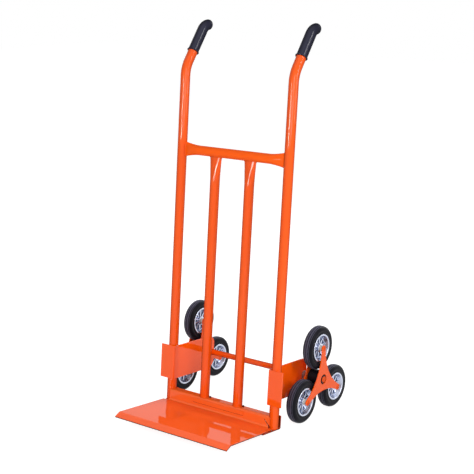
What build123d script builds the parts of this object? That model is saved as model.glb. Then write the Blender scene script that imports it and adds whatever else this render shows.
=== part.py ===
from build123d import *
import os
from math import cos, pi, radians, sin, tan

# A six-wheel stair-climbing hand truck: a welded tube frame on a bent toe plate, and on each
# end of the axle a turning cluster of three wheels. Millimetres, standing on Z = 0, +X to the
# right seen from the front, +Y to the back, origin below the middle of the bounding box.

# Stance: heels on the floor and two wheels of each cluster on the floor
LEAN = 4.7  # degrees the frame leans back
TOE_RISE = 6.0  # degrees the toe plate rises towards the front

# Frame tubes
TUBE_D = 32.0
TUBE_WALL = 2.0
HANDLE_HEIGHT = 1138.0  # along the side tube, floor to the corner of the handle bend
HANDLE_ANGLE = 32.5  # degrees the handle turns back from the side tube
HANDLE_RUN = 156.0  # corner of the handle bend to the tube end
HANDLE_BEND_R = 90.0
CROSSBAR_HEIGHT = 871.5  # along the side tube, floor to the crossbar centre line
INNER_BAR_SPACING = 138.0
INNER_BAR_FORWARD = 3.0  # in front of the side tubes
CRUSH_LENGTH = 56.0  # round section to flattened end
CRUSH_SLIT = 3.0  # left open inside a flattened crossbar end
CRUSH_MIDDLE = 0.33  # share of the flattening that is reached half way along it
NECK_LENGTH = 75.0  # round inner bar to where it meets the crossbar
NECK_WIDTH = 46.0
NECK_DEPTH = 14.0

# Grips
GRIP_WALL = 1.6
GRIP_FIT = 0.1
GRIP_START = 62.0  # corner of the handle bend to the lower end of the grip
GRIP_HOOK = 14.0  # tube end to the corner of the hook
GRIP_HOOK_R = 25.0
GRIP_TAIL = 24.0  # corner of the hook to the end of the grip
GRIP_END_ROUND = 9.0
GRIP_COLLAR_WALL = 3.2
GRIP_COLLAR_LENGTH = 4.0

# Toe plate
SHEET = 4.0
PLATE_INSET = 1.5  # plate edge in from the outer side of the tubes
PLATE_DEPTH = 250.0  # side tube centre line to the bend of the front lip
LIP_LENGTH = 24.0
LIP_ANGLE = 30.0  # degrees the lip turns down from the plate
LIP_BEND_R = 8.0
FLANGE_HEIGHT = 37.0  # plate top to flange top
FLANGE_END_GAP = 1.0  # coped flange end to side tube
UPSTAND_END = 7.0  # upstand end to the centre line of the side tube
UPSTAND_BEND_R = 9.0
FLANGE_BEND_R = 5.0
STIFFENER_LENGTH = 210.0
STIFFENER_HEIGHT = 14.0
STIFFENER_SHEET = 2.0

# Heel straps
STRAP_SHEET = 4.0
STRAP_WIDTH = 30.0
STRAP_FRONT = 78.0  # side tube centre line to the front end below the plate
STRAP_RISE = 36.0  # plate top to the upper end behind the tube
STRAP_GAP = 0.3  # weld gap to the side tube
HEEL_R = 5.0

# Axle brackets and axle
BRACKET_SHEET = 4.0
BRACKET_HEIGHT = 116.0
BRACKET_FLANGE = 56.0
BRACKET_BEHIND_AXLE = 14.0
BRACKET_BEND_R = 6.0
BRACKET_CORNER_R = 30.0
AXLE_D = 20.0
AXLE_SETBACK = 201.0  # on the floor, side tube centre line to below the axle
AXLE_CHAMFER = 1.0
AXLE_OVERHANG = 2.5  # circlip to axle end
SPACER_D = 28.0
SPACER_LENGTH = 29.9
WASHER_D = 27.0
WASHER_THICK = 2.0
CIRCLIP_D = 24.0
CIRCLIP_THICK = 1.5
CIRCLIP_GROOVE = 1.0  # depth
CIRCLIP_OPENING = 8.0

# Wheel clusters
WHEEL_TRACK = 500.0  # between the middle planes of the left and right wheels
ARM_REACH = 107.0  # axle centre to wheel centre
STAR_SHEET = 4.0
STAR_TIP_R = 10.5
STAR_WAIST = 38.5  # axle centre to the hollow between two arms
STAR_BORE_CLEARANCE = 3.5  # washer to the edge of the hole round it
CLUSTER_HUB_D = 56.0
CLUSTER_PLAY = 0.4
PIN_D = 12.0
PIN_HEAD_D = 17.0
PIN_HEAD = 1.5

# Wheels
TYRE_D = 145.0
TYRE_WIDTH = 34.0
TYRE_SHOULDER_R = 13.0
TYRE_GROOVE = 1.5
TYRE_GROOVE_SPACING = 8.0
TYRE_GROOVE_COUNT = 3
RIM_R = 46.8
RIM_SEAT = 3.5  # depth of the tyre's seat below the rim edge
RIM_WALL = 8.0  # under the seat, at the web
RIM_EDGE = 2.0  # thickness of the rim edge beside the tyre
RIM_DRAFT = 6.5  # how far the dish narrows towards the web
WEB_THICK = 5.0
RIM_HUB_D = 29.0
RIM_HUB_LENGTH = 26.0
RIB_COUNT = 10
RIB_THICK = 4.5
RIB_RISE = 3.0  # each side of the web
RIB_ROOT = 1.5  # how far a rib runs into the hub and the dish
HUB_LENGTH = 42.4
WHEEL_PLAY = 0.5  # each side of the wheel hub
BUSH_WALL = 3.5
RUNNING_FIT = 0.05  # radial

# What follows from these sizes
SIDES = {"left": -1, "right": 1}
WHEEL_ANGLES = {"top": 90, "front": 210, "rear": 330}
HALF_STEP = 180 / len(WHEEL_ANGLES)
TUBE_R = TUBE_D / 2
AXLE_R = AXLE_D / 2
TYRE_R = TYRE_D / 2
FLAT_HEIGHT = pi / 2 * (TUBE_D - TUBE_WALL) + TUBE_WALL
FLAT_THICK = 2 * TUBE_WALL + CRUSH_SLIT
UPSTAND_FRONT = -INNER_BAR_FORWARD - TUBE_R
FLANGE_BACK = TUBE_R - INNER_BAR_FORWARD
STRAP_INNER = TUBE_R + STRAP_GAP
STRAP_OUTER = STRAP_INNER + STRAP_SHEET
STRAP_BOTTOM = -SHEET - STRAP_SHEET
STAR_GAP = HUB_LENGTH + 2 * WHEEL_PLAY
STAR_INNER_X = WHEEL_TRACK / 2 - STAR_GAP / 2
STAR_OUTER_X = WHEEL_TRACK / 2 + STAR_GAP / 2
SPACER_END = STAR_INNER_X - CLUSTER_PLAY
SPACER_X = SPACER_END - SPACER_LENGTH
BRACKET_X = SPACER_X - BRACKET_SHEET
SIDE_X = SPACER_X + TUBE_R
TUBE_SPACING = 2 * SIDE_X
PLATE_X = SIDE_X + TUBE_R - PLATE_INSET
UPSTAND_X = SIDE_X - UPSTAND_END
WASHER_X = STAR_OUTER_X + CLUSTER_PLAY
CIRCLIP_X = WASHER_X + WASHER_THICK
AXLE_END = CIRCLIP_X + CIRCLIP_THICK + AXLE_OVERHANG
AXLE_Z = TYRE_R + ARM_REACH * cos(radians(HALF_STEP))
TYRE_SEAT_R = RIM_R - RIM_SEAT
BUSH_R = PIN_D / 2 + RUNNING_FIT + BUSH_WALL

# The heel, where each strap turns up, is the lowest point of the frame
SLOPE = radians(LEAN - TOE_RISE)  # of the tubes, from square to the plate
HEEL_BACK = STRAP_OUTER + HEEL_R * tan(SLOPE) - HEEL_R / cos(SLOPE)
HEEL_UP = STRAP_BOTTOM + HEEL_R
PLATE_TOP_Z = HEEL_R + HEEL_BACK * sin(radians(TOE_RISE)) - HEEL_UP * cos(radians(TOE_RISE))

# The front lip and the rear tyres reach equally far from the origin
LIP_END = PLATE_DEPTH + LIP_LENGTH * cos(radians(LIP_ANGLE))
LIP_DROP = LIP_LENGTH * sin(radians(LIP_ANGLE))
LIP_CORNER_OUT = LIP_END + SHEET / 2 * sin(radians(LIP_ANGLE))
LIP_CORNER_DOWN = LIP_DROP + SHEET / 2 * (1 - cos(radians(LIP_ANGLE)))
TUBE_FOOT = PLATE_TOP_Z * tan(radians(LEAN))  # how far back the tubes are at plate height
FRONT_REACH = (
    LIP_CORNER_OUT * cos(radians(TOE_RISE)) + LIP_CORNER_DOWN * sin(radians(TOE_RISE)) - TUBE_FOOT
)
BACK_REACH = AXLE_SETBACK + ARM_REACH * sin(radians(HALF_STEP)) + TYRE_R
FOOT_Y = (FRONT_REACH - BACK_REACH) / 2

# Working planes, with the directions of their two axes
RIGHTWARD = (1, 0, 0)
ALONG_TUBE = (0, sin(radians(LEAN)), cos(radians(LEAN)))
OFF_PLATE = (0, sin(radians(TOE_RISE)), cos(radians(TOE_RISE)))
FRAME = Plane((0, FOOT_Y, 0), x_dir=RIGHTWARD, z_dir=ALONG_TUBE)  # right, back
FRAME_SIDE = Plane(FRAME.origin, x_dir=FRAME.y_dir, z_dir=RIGHTWARD)  # back, up the tube
TOE = Plane((0, FOOT_Y + TUBE_FOOT, PLATE_TOP_Z), x_dir=RIGHTWARD, z_dir=OFF_PLATE)  # right, back
TOE_SIDE = Plane(TOE.origin, x_dir=TOE.y_dir, z_dir=RIGHTWARD)  # back, off the plate
AXLE = Plane((0, FOOT_Y + AXLE_SETBACK, AXLE_Z), x_dir=(0, 1, 0), z_dir=RIGHTWARD)  # back, up
AXLE_ON_FRAME = FRAME_SIDE.to_local_coords(AXLE.origin)


def polar(radius, angle):
    """Point at a distance and an angle in degrees from a plane's origin."""
    return Vector(radius * cos(radians(angle)), radius * sin(radians(angle)))


def handle_points():
    """Points on a side tube's centre line in its own plane: bend, grip mouth, tube end and hook."""
    runs = 0, GRIP_START, HANDLE_RUN, HANDLE_RUN + GRIP_HOOK
    return [tuple(Vector(0, HANDLE_HEIGHT) + polar(run, 90 - HANDLE_ANGLE)) for run in runs]


def side_tube(side):
    """Bent tube from the heel strap to the end of the handle."""
    bend, _, end, _ = handle_points()
    with BuildPart() as tube:
        with BuildLine(FRAME_SIDE.offset(side * SIDE_X)) as path:
            FilletPolyline((0, 0), bend, end, radius=HANDLE_BEND_R)
        with BuildSketch(Plane(path.line @ 0, x_dir=RIGHTWARD, z_dir=path.line % 0)):
            Circle(TUBE_R)
            Circle(TUBE_R - TUBE_WALL, mode=Mode.SUBTRACT)
        sweep()
        with BuildSketch(TOE.offset(-SHEET)):
            with Locations((side * SIDE_X, 0)):
                Rectangle(2 * TUBE_D, 2 * TUBE_D)
        extrude(amount=-TUBE_D, mode=Mode.SUBTRACT)
    return tube.part


def grip(side):
    """Moulded sleeve over the end of the handle, with a collar round its mouth and a hooked end."""
    _, start, _, hook = handle_points()
    bore_r = TUBE_R + GRIP_FIT
    with BuildPart() as sleeve:
        with BuildLine(FRAME_SIDE.offset(side * SIDE_X)) as path:
            FilletPolyline(start, hook, (hook[0] + GRIP_TAIL, hook[1]), radius=GRIP_HOOK_R)
        mouth = Plane(path.line @ 0, x_dir=RIGHTWARD, z_dir=path.line % 0)
        with BuildSketch(mouth):
            Circle(bore_r + GRIP_WALL)
        sweep()
        tip = sleeve.faces().sort_by(Axis(FRAME.origin, FRAME.y_dir))[-1]
        fillet(tip.edges(), GRIP_END_ROUND)
        with BuildSketch(mouth):
            Circle(bore_r + GRIP_COLLAR_WALL)
        extrude(amount=GRIP_COLLAR_LENGTH)
        with BuildSketch(mouth):
            Circle(bore_r)
        extrude(amount=HANDLE_RUN - GRIP_START, mode=Mode.SUBTRACT)
    return sleeve.part


def upper_crossbar():
    """Tube between the side tubes, crushed flat at both ends and coped to fit them."""
    axis = Plane(FRAME.offset(CROSSBAR_HEIGHT).origin, x_dir=FRAME.y_dir, z_dir=RIGHTWARD)
    straight = SIDE_X - TUBE_R - CRUSH_LENGTH
    with BuildPart() as bar:
        for wall, mode in ((0, Mode.ADD), (TUBE_WALL, Mode.SUBTRACT)):
            radius = TUBE_R - wall
            flat = FLAT_THICK / 2 - wall, FLAT_HEIGHT / 2 - wall
            with BuildSketch(axis):
                Circle(radius)
            extrude(amount=straight, both=True, mode=mode)
            for side in SIDES.values():
                with BuildSketch(axis.offset(side * straight)):
                    Circle(radius)
                with BuildSketch(axis.offset(side * (straight + CRUSH_LENGTH / 2))):
                    Ellipse(*(radius + CRUSH_MIDDLE * (half - radius) for half in flat))
                with BuildSketch(axis.offset(side * (straight + CRUSH_LENGTH))):
                    Ellipse(*flat)
                loft(mode=mode)
                with BuildSketch(axis.offset(side * (straight + CRUSH_LENGTH))):
                    Ellipse(*flat)
                extrude(amount=side * TUBE_R, mode=mode)
        with BuildSketch(FRAME.offset(CROSSBAR_HEIGHT)):
            with GridLocations(TUBE_SPACING, 0, len(SIDES), 1):
                Circle(TUBE_R)
        extrude(amount=FLAT_HEIGHT, both=True, mode=Mode.SUBTRACT)
    return bar.part


def inner_bar(side):
    """Upright tube from the toe plate's flange to the crossbar, necked flat at the top."""
    centre = (side * INNER_BAR_SPACING / 2, -INNER_BAR_FORWARD)
    straight = CROSSBAR_HEIGHT - TUBE_R - NECK_LENGTH
    with BuildPart() as bar:
        for wall, mode in ((0, Mode.ADD), (TUBE_WALL, Mode.SUBTRACT)):
            with BuildSketch(FRAME):
                with Locations(centre):
                    Circle(TUBE_R - wall)
            extrude(amount=straight, mode=mode)
            with BuildSketch(FRAME.offset(straight)):
                with Locations(centre):
                    Circle(TUBE_R - wall)
            with BuildSketch(FRAME.offset(straight + NECK_LENGTH)) as neck:
                with Locations(centre):
                    Ellipse(NECK_WIDTH / 2 - wall, NECK_DEPTH / 2 - wall)
            loft(mode=mode)
            extrude(neck.sketch, amount=TUBE_R, mode=mode)
        with BuildSketch(TOE.offset(FLANGE_HEIGHT)):
            with Locations(centre):
                Rectangle(2 * TUBE_D, 2 * TUBE_D)
        extrude(amount=-2 * FLANGE_HEIGHT, mode=Mode.SUBTRACT)
        with BuildSketch(FRAME_SIDE.offset(centre[0])):
            with Locations((0, CROSSBAR_HEIGHT)):
                Circle(TUBE_R)
        extrude(amount=NECK_WIDTH, both=True, mode=Mode.SUBTRACT)
    return bar.part


def toe_plate():
    """Bent sheet: front lip, plate, rear upstand and top flange, coped round the side tubes."""
    middle = SHEET / 2
    upstand = UPSTAND_FRONT + middle
    bend_start = upstand - UPSTAND_BEND_R
    upstand_face = Plane(
        TOE.origin + UPSTAND_FRONT * TOE.y_dir, x_dir=RIGHTWARD, z_dir=-TOE.y_dir
    )
    with BuildPart() as plate:
        with BuildSketch(TOE_SIDE):
            with BuildLine():
                FilletPolyline(
                    (-LIP_END, -LIP_DROP - middle),
                    (-PLATE_DEPTH, -middle),
                    (upstand, -middle),
                    (upstand, FLANGE_HEIGHT - middle),
                    (FLANGE_BACK, FLANGE_HEIGHT - middle),
                    radius=[LIP_BEND_R, UPSTAND_BEND_R, FLANGE_BEND_R],
                )
            trace(line_width=SHEET)
        extrude(amount=PLATE_X, both=True)
        with BuildSketch(TOE.offset(-SHEET)):
            for side, outwards in zip(SIDES.values(), (Align.MAX, Align.MIN)):
                with Locations((side * UPSTAND_X, bend_start)):
                    Rectangle(TUBE_D, 2 * TUBE_D, align=(outwards, Align.MIN))
        extrude(amount=2 * FLANGE_HEIGHT, mode=Mode.SUBTRACT)
        with BuildSketch(FRAME):
            with GridLocations(TUBE_SPACING, 0, len(SIDES), 1):
                Circle(TUBE_R + FLANGE_END_GAP)
        extrude(amount=PLATE_TOP_Z + 2 * FLANGE_HEIGHT, mode=Mode.SUBTRACT)
        with BuildSketch(upstand_face):
            with Locations((0, FLANGE_HEIGHT - middle - FLANGE_BEND_R)):
                Rectangle(STIFFENER_LENGTH, STIFFENER_HEIGHT, align=(Align.CENTER, Align.MAX))
        extrude(amount=STIFFENER_SHEET)
    return plate.part


def heel_strap(side):
    """Flat bar under the plate's edge, turned up behind the side tube to stand on its heel."""
    rise = STRAP_RISE - STRAP_BOTTOM
    slant = rise * tan(SLOPE)
    with BuildPart() as strap:
        with BuildSketch(TOE_SIDE.offset(side * SIDE_X)):
            with BuildLine():
                Polyline(
                    (-STRAP_FRONT, -SHEET),
                    (STRAP_INNER + STRAP_SHEET * tan(SLOPE), -SHEET),
                    (STRAP_INNER + slant, STRAP_RISE),
                    (STRAP_OUTER + slant, STRAP_RISE),
                    (STRAP_OUTER, STRAP_BOTTOM),
                    (-STRAP_FRONT, STRAP_BOTTOM),
                    close=True,
                )
            heel = make_face().vertices().sort_by_distance((STRAP_OUTER, STRAP_BOTTOM))[0]
            fillet(heel, HEEL_R)
        extrude(amount=STRAP_WIDTH / 2, both=True)
    return strap.part


def axle_bracket(side):
    """Bent sheet: a flange across the front of the side tube and a plate back to the axle."""
    front = -TUBE_R - BRACKET_SHEET
    back = AXLE_ON_FRAME.X + BRACKET_BEHIND_AXLE
    fold = (side * BRACKET_X, front)
    with BuildPart() as bracket:
        with BuildSketch(FRAME.offset(AXLE_ON_FRAME.Y - BRACKET_HEIGHT / 2)):
            with BuildLine():
                Polyline(
                    fold,
                    (side * (BRACKET_X + BRACKET_FLANGE), front),
                    (side * (BRACKET_X + BRACKET_FLANGE), -TUBE_R),
                    (side * (BRACKET_X + BRACKET_SHEET), -TUBE_R),
                    (side * (BRACKET_X + BRACKET_SHEET), back),
                    (side * BRACKET_X, back),
                    close=True,
                )
            fillet(make_face().vertices().sort_by_distance(fold)[0], BRACKET_BEND_R)
        extrude(amount=BRACKET_HEIGHT)
        rear = bracket.faces().sort_by(Axis(FRAME.origin, FRAME.y_dir))[-1]
        fillet(rear.edges().filter_by(Axis.X), BRACKET_CORNER_R)
        with BuildSketch(AXLE.offset(side * BRACKET_X)):
            Circle(AXLE_R)
        extrude(amount=side * BRACKET_SHEET, mode=Mode.SUBTRACT)
    return bracket.part


def main_axle():
    """Round bar through both brackets, grooved for a circlip near each end."""
    with BuildPart() as axle:
        with BuildSketch(AXLE):
            Circle(AXLE_R)
        extrude(amount=AXLE_END, both=True)
        chamfer(axle.edges().filter_by(GeomType.CIRCLE), AXLE_CHAMFER)
        for side in SIDES.values():
            with BuildSketch(AXLE.offset(side * CIRCLIP_X)):
                Circle(AXLE_R)
                Circle(AXLE_R - CIRCLIP_GROOVE, mode=Mode.SUBTRACT)
            extrude(amount=side * CIRCLIP_THICK, mode=Mode.SUBTRACT)
    return axle.part


def axle_rings(outer_d, start, end):
    """A pair of rings that fit the axle, one at each end of it."""
    with BuildPart() as rings:
        for side in SIDES.values():
            with BuildSketch(AXLE.offset(side * start)):
                Circle(outer_d / 2)
                Circle(AXLE_R, mode=Mode.SUBTRACT)
            extrude(amount=side * (end - start))
    return rings.part


def axle_circlips():
    """A pair of open rings that sit in the axle's grooves."""
    with BuildPart() as circlips:
        for side in SIDES.values():
            with BuildSketch(AXLE.offset(side * CIRCLIP_X)):
                Circle(CIRCLIP_D / 2)
                Circle(AXLE_R - CIRCLIP_GROOVE, mode=Mode.SUBTRACT)
                Rectangle(
                    CIRCLIP_OPENING, CIRCLIP_D, align=(Align.CENTER, Align.MAX), mode=Mode.SUBTRACT
                )
            extrude(amount=side * CIRCLIP_THICK)
    return circlips.part


def star_plate(side, start):
    """Three-armed plate: round tips joined by hollow arcs that touch them."""
    neck = STAR_WAIST - STAR_TIP_R
    hollow = (ARM_REACH**2 - neck**2) / (2 * (ARM_REACH * cos(radians(HALF_STEP)) - neck))
    with BuildPart() as plate:
        with BuildSketch(AXLE.offset(side * start)):
            with BuildLine():
                for angle in WHEEL_ANGLES.values():
                    tip = polar(ARM_REACH, angle)
                    before, after, beyond = (
                        centre + STAR_TIP_R * (polar(hollow, turn) - centre).normalized()
                        for centre, turn in (
                            (tip, angle - HALF_STEP),
                            (tip, angle + HALF_STEP),
                            (polar(ARM_REACH, angle + 2 * HALF_STEP), angle + HALF_STEP),
                        )
                    )
                    ThreePointArc(before, polar(ARM_REACH + STAR_TIP_R, angle), after)
                    ThreePointArc(after, polar(STAR_WAIST, angle + HALF_STEP), beyond)
            make_face()
            Circle(WASHER_D / 2 + STAR_BORE_CLEARANCE, mode=Mode.SUBTRACT)
            for angle in WHEEL_ANGLES.values():
                with Locations(polar(ARM_REACH, angle)):
                    Circle(PIN_D / 2, mode=Mode.SUBTRACT)
        extrude(amount=side * STAR_SHEET)
    return plate.part


def cluster_hub(side):
    """Drum between the two star plates that runs on the axle."""
    with BuildPart() as hub:
        with BuildSketch(AXLE.offset(side * WHEEL_TRACK / 2)):
            Circle(CLUSTER_HUB_D / 2)
            Circle(AXLE_R + RUNNING_FIT, mode=Mode.SUBTRACT)
        extrude(amount=STAR_GAP / 2, both=True)
    return hub.part


def wheel_plane(side, angle):
    """Plane through a wheel's axis, right and up, with its origin in the middle of the wheel."""
    centre = AXLE.offset(side * WHEEL_TRACK / 2).from_local_coords(polar(ARM_REACH, angle))
    return Plane(centre, x_dir=RIGHTWARD, z_dir=(0, -1, 0))


def wheel_pins(side):
    """Pins through both star plates, riveted over at each end."""
    length = STAR_GAP / 2 + STAR_SHEET
    with BuildPart() as pins:
        for angle in WHEEL_ANGLES.values():
            plane = wheel_plane(side, angle)
            with BuildSketch(plane):
                Rectangle(2 * length, PIN_D / 2, align=(Align.CENTER, Align.MIN))
                for end in (-1, 1):
                    with BuildLine():
                        Polyline(
                            (end * length, 0),
                            (end * length, PIN_HEAD_D / 2),
                            (end * (length + PIN_HEAD), PIN_HEAD_D / 2 - PIN_HEAD),
                            (end * (length + PIN_HEAD), 0),
                            close=True,
                        )
                    make_face()
            revolve(axis=Axis(plane.origin, RIGHTWARD))
    return pins.part


def tyre(plane):
    """Solid tyre with rounded shoulders and grooves round the tread."""
    with BuildPart() as ring:
        with BuildSketch(plane):
            with Locations((0, RIM_R)):
                tread = Rectangle(TYRE_WIDTH, TYRE_R - RIM_R, align=(Align.CENTER, Align.MIN))
            fillet(tread.vertices().group_by(Axis.Y)[-1], TYRE_SHOULDER_R)
            with Locations((0, RIM_R)):
                Rectangle(TYRE_WIDTH - 2 * RIM_EDGE, RIM_R - TYRE_SEAT_R, align=(Align.CENTER, Align.MAX))
            with Locations((0, TYRE_R)):
                with GridLocations(TYRE_GROOVE_SPACING, 0, TYRE_GROOVE_COUNT, 1):
                    Rectangle(TYRE_GROOVE, 2 * TYRE_GROOVE, mode=Mode.SUBTRACT)
        revolve(axis=Axis(plane.origin, RIGHTWARD))
    return ring.part


def rim(plane):
    """Dished rim: a tyre seat between two edges, a ribbed web and a hub bored for the bush."""
    half = TYRE_WIDTH / 2
    dish = TYRE_SEAT_R - RIM_WALL
    rib_start = RIM_HUB_D / 2 - RIB_ROOT
    rib_end = dish + RIB_ROOT
    face = Plane(plane.origin, x_dir=(0, 1, 0), z_dir=RIGHTWARD)
    with BuildPart() as wheel:
        with BuildSketch(plane):
            with BuildLine():
                Polyline(
                    (-half, RIM_R),
                    (-half + RIM_EDGE, RIM_R),
                    (-half + RIM_EDGE, TYRE_SEAT_R),
                    (half - RIM_EDGE, TYRE_SEAT_R),
                    (half - RIM_EDGE, RIM_R),
                    (half, RIM_R),
                    (half, dish + RIM_DRAFT),
                    (WEB_THICK / 2, dish),
                    (-WEB_THICK / 2, dish),
                    (-half, dish + RIM_DRAFT),
                    close=True,
                )
            make_face()
            with Locations((0, BUSH_R)):
                Rectangle(WEB_THICK, dish - BUSH_R, align=(Align.CENTER, Align.MIN))
                Rectangle(RIM_HUB_LENGTH, RIM_HUB_D / 2 - BUSH_R, align=(Align.CENTER, Align.MIN))
        revolve(axis=Axis(plane.origin, RIGHTWARD))
        with BuildSketch(face):
            with PolarLocations(rib_start, RIB_COUNT):
                Rectangle(rib_end - rib_start, RIB_THICK, align=(Align.MIN, Align.CENTER))
        extrude(amount=WEB_THICK / 2 + RIB_RISE, both=True)
    return wheel.part


def bush(plane):
    """Plain bearing in the rim's hub that runs on the pin."""
    with BuildPart() as sleeve:
        with BuildSketch(Plane(plane.origin, x_dir=(0, 1, 0), z_dir=RIGHTWARD)):
            Circle(BUSH_R)
            Circle(PIN_D / 2 + RUNNING_FIT, mode=Mode.SUBTRACT)
        extrude(amount=HUB_LENGTH / 2, both=True)
    return sleeve.part


parts = {
    "toe_plate": toe_plate(),
    "upper_crossbar": upper_crossbar(),
    "main_axle": main_axle(),
    "axle_spacers": axle_rings(SPACER_D, SPACER_X, SPACER_END),
    "axle_washers": axle_rings(WASHER_D, WASHER_X, CIRCLIP_X),
    "axle_circlips": axle_circlips(),
}
for name, side in SIDES.items():
    parts[f"{name}_side_tube"] = side_tube(side)
    parts[f"{name}_grip"] = grip(side)
    parts[f"{name}_inner_bar"] = inner_bar(side)
    parts[f"{name}_heel_strap"] = heel_strap(side)
    parts[f"{name}_axle_bracket"] = axle_bracket(side)
    parts[f"{name}_inner_star"] = star_plate(side, STAR_INNER_X - STAR_SHEET)
    parts[f"{name}_outer_star"] = star_plate(side, STAR_OUTER_X)
    parts[f"{name}_cluster_hub"] = cluster_hub(side)
    parts[f"{name}_wheel_pins"] = wheel_pins(side)
    for place, angle in WHEEL_ANGLES.items():
        for piece in (tyre, rim, bush):
            parts[f"{name}_{place}_{piece.__name__}"] = piece(wheel_plane(side, angle))

os.makedirs("parts", exist_ok=True)
for name, part in parts.items():
    part.label = name
    export_step(part, f"parts/{name}.step")
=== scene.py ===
"""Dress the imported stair-climbing hand truck: bent sheet, grips, wheels, welds, finishes and studio."""
import logging
import math
from dataclasses import dataclass
from enum import Enum
from typing import Any, Callable, Sequence

import bmesh
import bpy
from mathutils import Matrix, Vector


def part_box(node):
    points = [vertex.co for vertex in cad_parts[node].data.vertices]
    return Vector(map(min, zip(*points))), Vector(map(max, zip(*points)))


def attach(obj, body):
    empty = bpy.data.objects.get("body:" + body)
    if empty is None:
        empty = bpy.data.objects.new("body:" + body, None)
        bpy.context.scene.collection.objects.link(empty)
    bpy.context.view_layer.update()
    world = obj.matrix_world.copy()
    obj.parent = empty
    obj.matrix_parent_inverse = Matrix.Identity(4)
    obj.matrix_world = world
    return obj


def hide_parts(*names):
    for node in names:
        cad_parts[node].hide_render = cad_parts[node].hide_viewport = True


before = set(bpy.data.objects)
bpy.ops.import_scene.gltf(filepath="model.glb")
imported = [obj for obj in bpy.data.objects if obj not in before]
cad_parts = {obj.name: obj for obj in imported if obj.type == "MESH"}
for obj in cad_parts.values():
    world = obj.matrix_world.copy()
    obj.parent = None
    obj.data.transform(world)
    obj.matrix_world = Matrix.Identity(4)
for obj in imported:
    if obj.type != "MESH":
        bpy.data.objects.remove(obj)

LOG = logging.getLogger("hand_truck")
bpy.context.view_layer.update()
MM = 0.001
Point2 = tuple[float, float]
Point3 = tuple[float, float, float]
Sweep = tuple[float, float, int]
Colour = tuple[float, float, float, float]
Object = bpy.types.Object
Material = bpy.types.Material


class Named(Enum):
    """Members whose names are also parts of node names."""

    @property
    def word(self) -> str:
        """The member's name as the nodes use it."""
        return self.name.lower()


class Side(Named):
    """The two sides of the truck, as the sign of X."""

    LEFT = -1
    RIGHT = 1


class Place(Named):
    """A wheel's place in its cluster, as its angle in degrees from the back."""

    TOP = 90
    FRONT = 210
    REAR = 330


@dataclass(frozen=True)
class Axes:
    """A local frame, in millimetres, turned about X only.

    Args:
        back_mm: Y of the origin.
        up_mm: Z of the origin.
        lean: degrees that the local up direction leans to the back.
    """

    back_mm: float
    up_mm: float
    lean: float = 0.0

    def at(self, x: float, back: float, up: float) -> Vector:
        """Place a local point, in millimetres right, back and up, in the scene, in metres."""
        c, s = math.cos(math.radians(self.lean)), math.sin(math.radians(self.lean))
        return Vector((x, self.back_mm + back * c + up * s, self.up_mm - back * s + up * c)) * MM

    def from_side(self, back: float, up: float, x: float) -> Vector:
        """Place a point of an outline that is seen from the side."""
        return self.at(x, back, up)

    def from_front(self, x: float, up: float, back: float) -> Vector:
        """Place a point of an outline that is seen from the front."""
        return self.at(x, back, up)


FOOT_BACK = -47.68675
TUBES = Axes(back_mm=FOOT_BACK, up_mm=0.0, lean=4.7)
TOE = Axes(back_mm=FOOT_BACK + 0.78687, up_mm=9.57086, lean=6.0)
AXLE = Axes(back_mm=FOOT_BACK + 201.0, up_mm=126.0)
TUBE_R = 16.0
SIDE_X = 214.0
SHEET = 4.0
SHEET_EDGE = 0.6
ACROSS = Vector((1.0, 0.0, 0.0))
TOWARDS = Vector((0.0, -1.0, 0.0))
ALONG = 0.9
CREASE = 34.0
MERGE = 1e-6
LEAST_SPREAD = 0.2


@dataclass(frozen=True)
class Wire:
    """A shader socket that takes part in Python arithmetic through Math nodes."""

    tree: bpy.types.NodeTree
    socket: bpy.types.NodeSocket

    def _math(self, operation: str, first: Any, second: Any) -> "Wire":
        """Add one Math node.

        Args:
            operation: the node's operation.
            first: a wire or a number.
            second: a wire or a number.

        Returns:
            The node's result.
        """
        made = self.tree.nodes.new("ShaderNodeMath")
        made.operation = operation
        for slot, value in zip(made.inputs, (first, second)):
            if isinstance(value, Wire):
                self.tree.links.new(value.socket, slot)
            else:
                slot.default_value = value
        return Wire(self.tree, made.outputs[0])

    def __add__(self, other: Any) -> "Wire":
        """Sum."""
        return self._math("ADD", self, other)

    def __radd__(self, other: Any) -> "Wire":
        """Sum with a number on the left."""
        return self._math("ADD", other, self)

    def __rsub__(self, other: Any) -> "Wire":
        """Difference from a number."""
        return self._math("SUBTRACT", other, self)

    def __mul__(self, other: Any) -> "Wire":
        """Product."""
        return self._math("MULTIPLY", self, other)

    def __rmul__(self, other: Any) -> "Wire":
        """Product with a number on the left."""
        return self._math("MULTIPLY", other, self)

    def __pow__(self, other: Any) -> "Wire":
        """Power."""
        return self._math("POWER", self, other)

    def at_most(self, other: Any) -> "Wire":
        """The smaller of two values."""
        return self._math("MINIMUM", self, other)


@dataclass(frozen=True)
class Noise:
    """A noise over an object's own frame.

    Args:
        scale: cells per metre.
        detail: octaves.
        roughness: weight of the finer octaves.
    """

    scale: float
    detail: float = 2.0
    roughness: float = 0.5


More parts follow.
